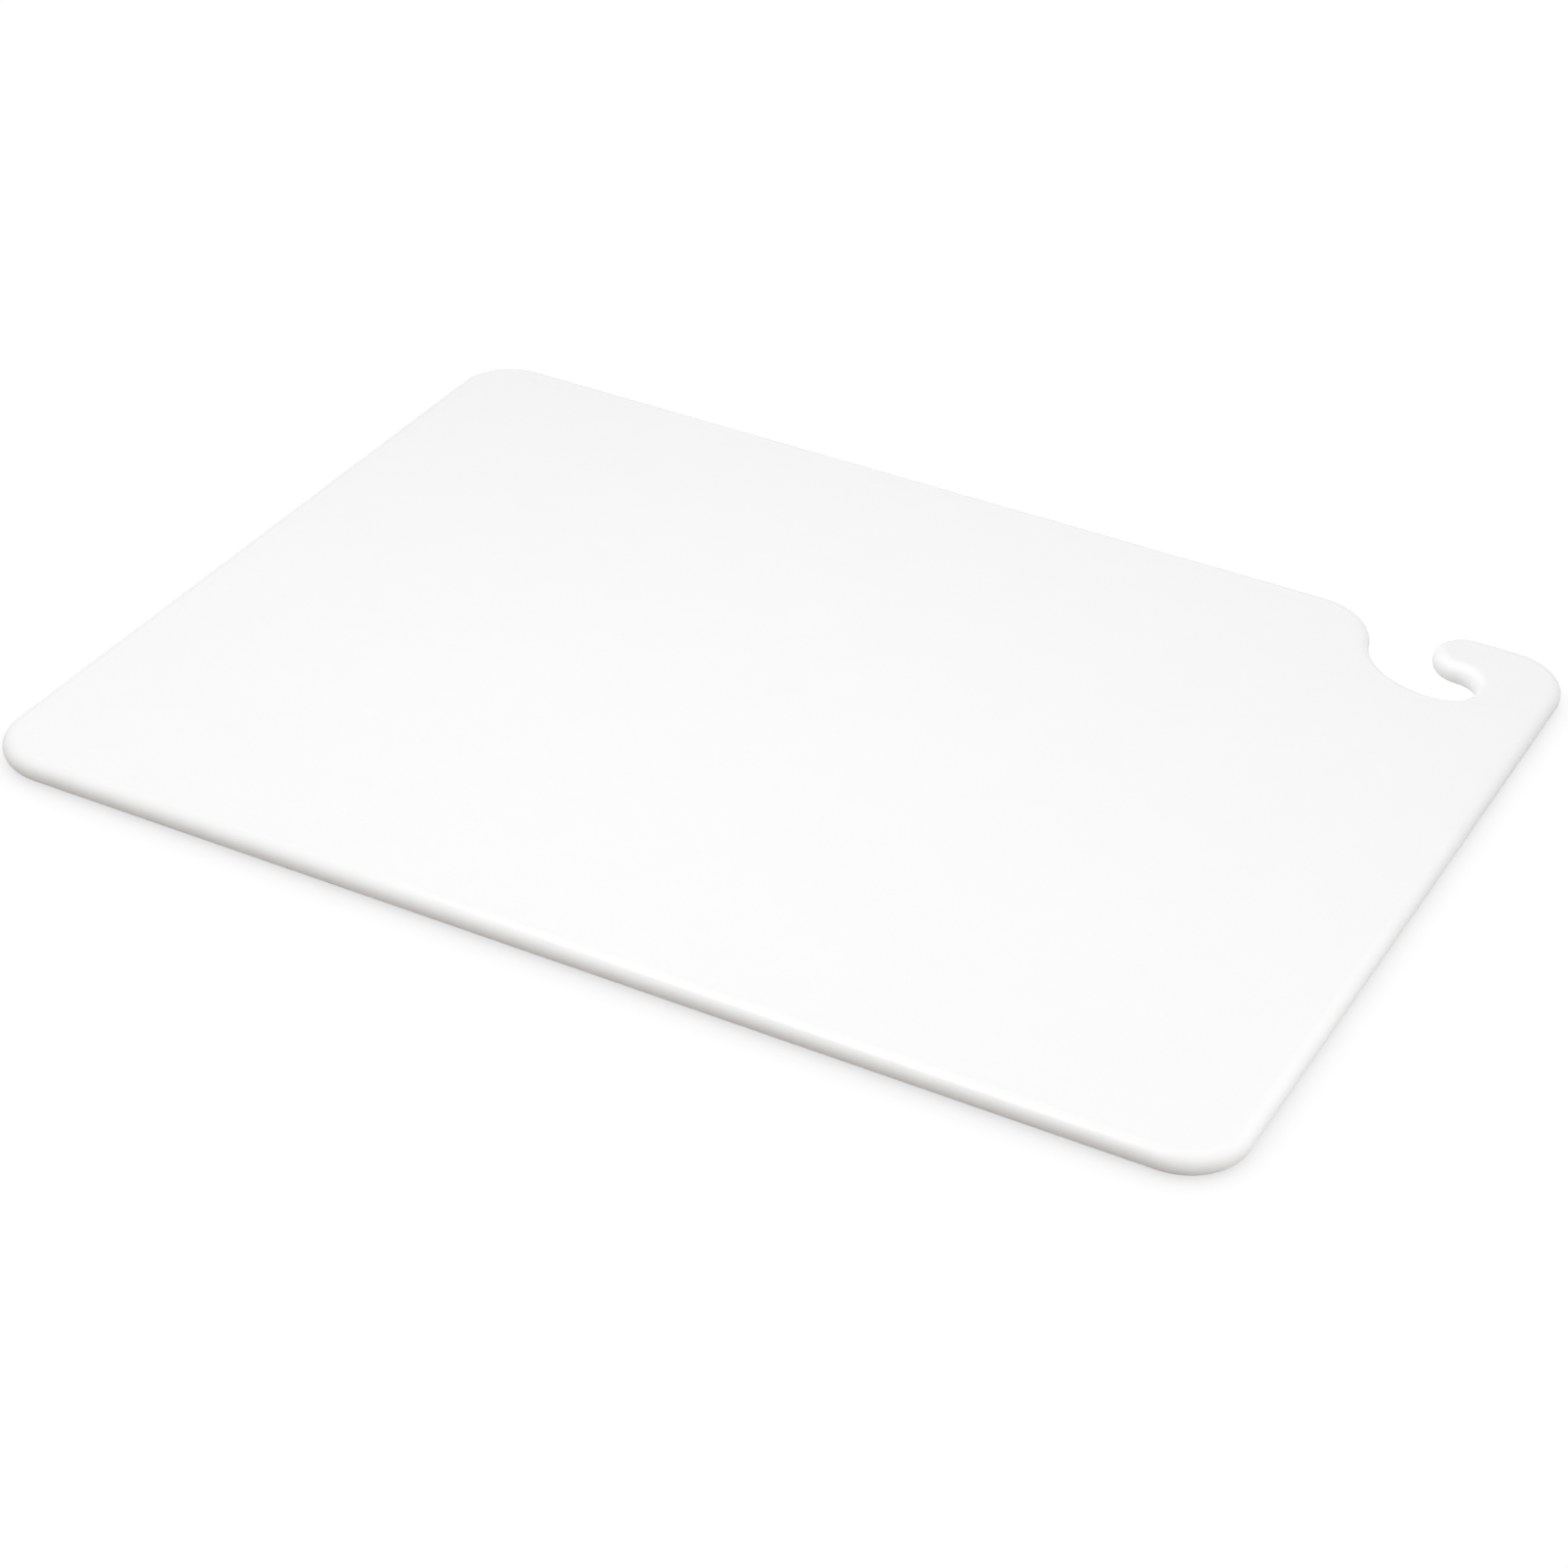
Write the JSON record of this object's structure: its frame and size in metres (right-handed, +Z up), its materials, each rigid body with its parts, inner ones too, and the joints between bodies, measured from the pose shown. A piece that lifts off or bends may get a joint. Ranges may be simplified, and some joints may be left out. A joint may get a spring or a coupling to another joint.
{
  "type": "cutting board",
  "caption": "Flat rectangular plastic cutting board with rounded corners, fully rounded edges and a hanging hook formed in one corner.",
  "frame": {"origin": "centre of the underside, the face that lies on the worktop", "axes": "+X along the long side towards the end with the hook, +Y towards the long edge that the hook opens on, +Z up through the thickness"},
  "size_m": [0.6096, 0.4572, 0.0127],
  "materials": {
    "white_plastic": "satin moulded polyethylene, cool white"
  },
  "bodies": {
    "root": {"board": "white_plastic"}
  },
  "joints": []
}
